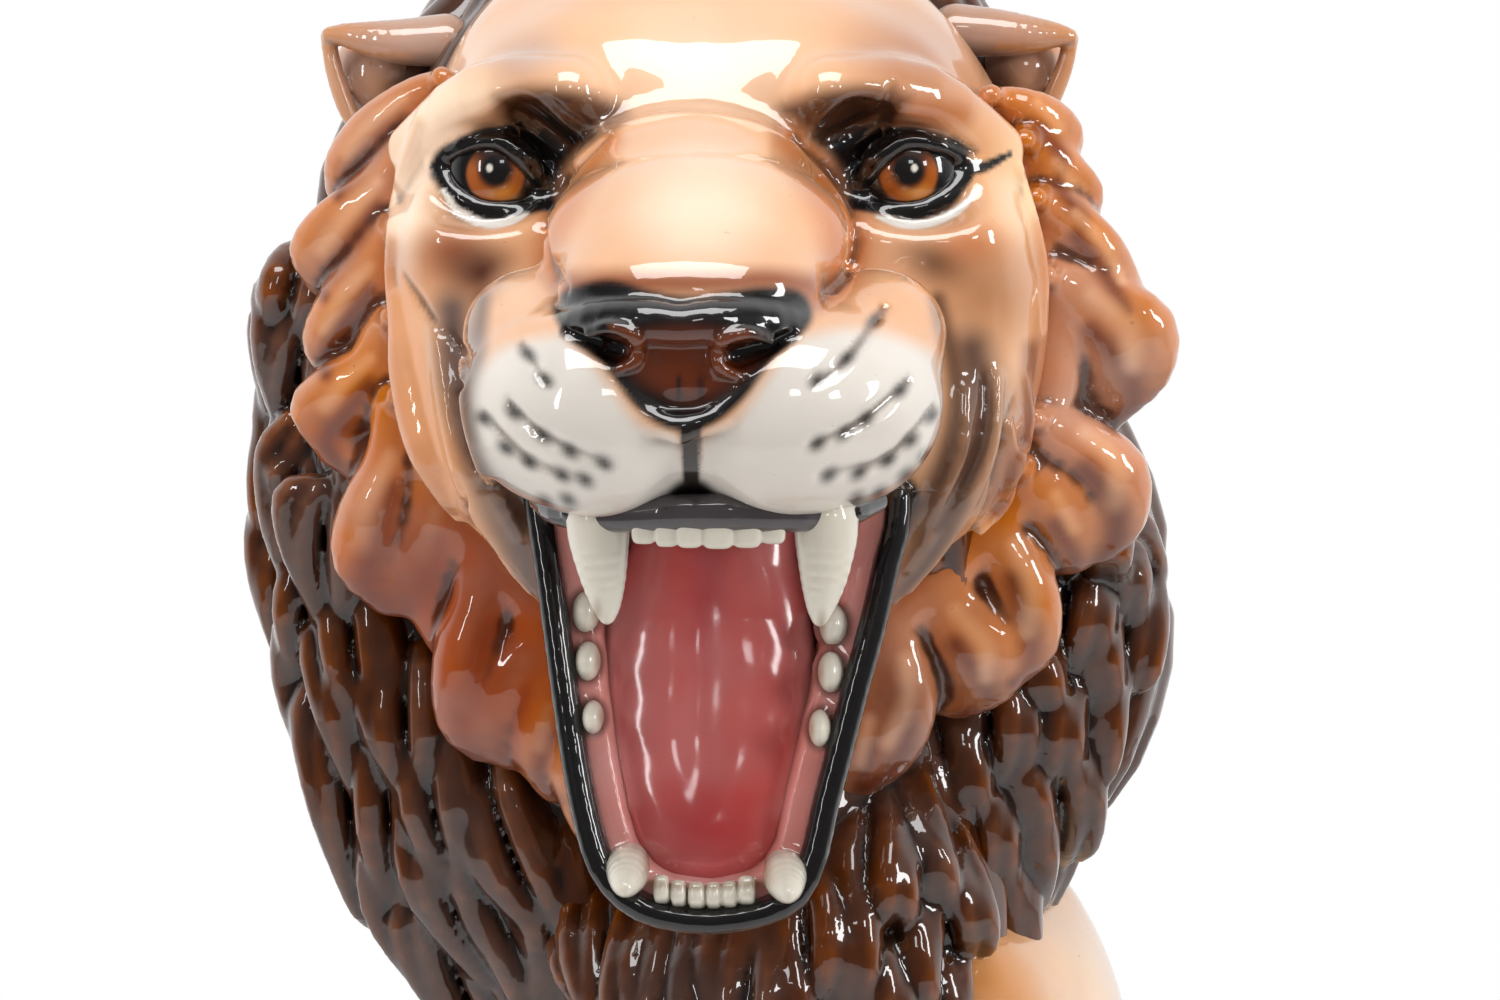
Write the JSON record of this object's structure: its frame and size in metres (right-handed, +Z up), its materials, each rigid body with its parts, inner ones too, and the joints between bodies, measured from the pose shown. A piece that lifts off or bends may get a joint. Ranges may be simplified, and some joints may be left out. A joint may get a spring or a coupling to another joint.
{
  "type": "lion statue",
  "caption": "Seated roaring lion in hollow glazed ceramic, head turned over one shoulder, with a deep mane, open jaws, bared teeth and a flat base for standing on a floor.",
  "frame": {"origin": "centre of the base slab's underside, on the floor", "axes": "+Z up, -Y the way the lion's head looks, +X to its left as it looks (the viewer's right)"},
  "size_m": [0.465, 0.5603, 0.888],
  "materials": {
    "coat_glaze": "airbrushed tan and peach underglaze under clear gloss glaze",
    "mane_glaze": "dark brown underglaze with lighter ridges under clear gloss glaze",
    "ruff_glaze": "orange-brown underglaze with peach tips under clear gloss glaze",
    "face_glaze": "airbrushed peach, tan, white and black underglaze under clear gloss glaze",
    "ear_glaze": "grey-brown underglaze under clear gloss glaze",
    "eye_glaze": "painted amber iris and black pupil under clear gloss glaze",
    "lip_glaze": "black underglaze under clear gloss glaze",
    "gum_glaze": "pink-brown underglaze under clear gloss glaze",
    "tongue_glaze": "dusty pink underglaze under clear gloss glaze",
    "tooth_glaze": "ivory underglaze under clear gloss glaze",
    "bare_clay": "unglazed fired clay"
  },
  "bodies": {
    "root": {"torso_shell": "coat_glaze", "base_slab": "bare_clay", "foreleg_left": "coat_glaze", "foreleg_right": "coat_glaze", "haunch_left": "coat_glaze", "haunch_right": "coat_glaze", "hind_foot_left": "coat_glaze", "hind_foot_right": "coat_glaze", "tail": "coat_glaze", "tail_tuft": "mane_glaze", "mane_collar": "mane_glaze", "chest_bib": "mane_glaze", "ruff_left": "ruff_glaze", "ruff_right": "ruff_glaze", "head_shell": "face_glaze", "ear_left": "ear_glaze", "ear_right": "ear_glaze", "eye_left": "eye_glaze", "eye_right": "eye_glaze", "lower_jaw": "lip_glaze", "lower_gum": "gum_glaze", "tongue": "tongue_glaze", "upper_gum": "gum_glaze", "upper_incisors": "tooth_glaze", "upper_canine_left": "tooth_glaze", "upper_canine_right": "tooth_glaze", "lower_incisors": "tooth_glaze", "lower_canine_left": "tooth_glaze", "lower_canine_right": "tooth_glaze", "molars_left": "tooth_glaze", "molars_right": "tooth_glaze"}
  },
  "joints": []
}
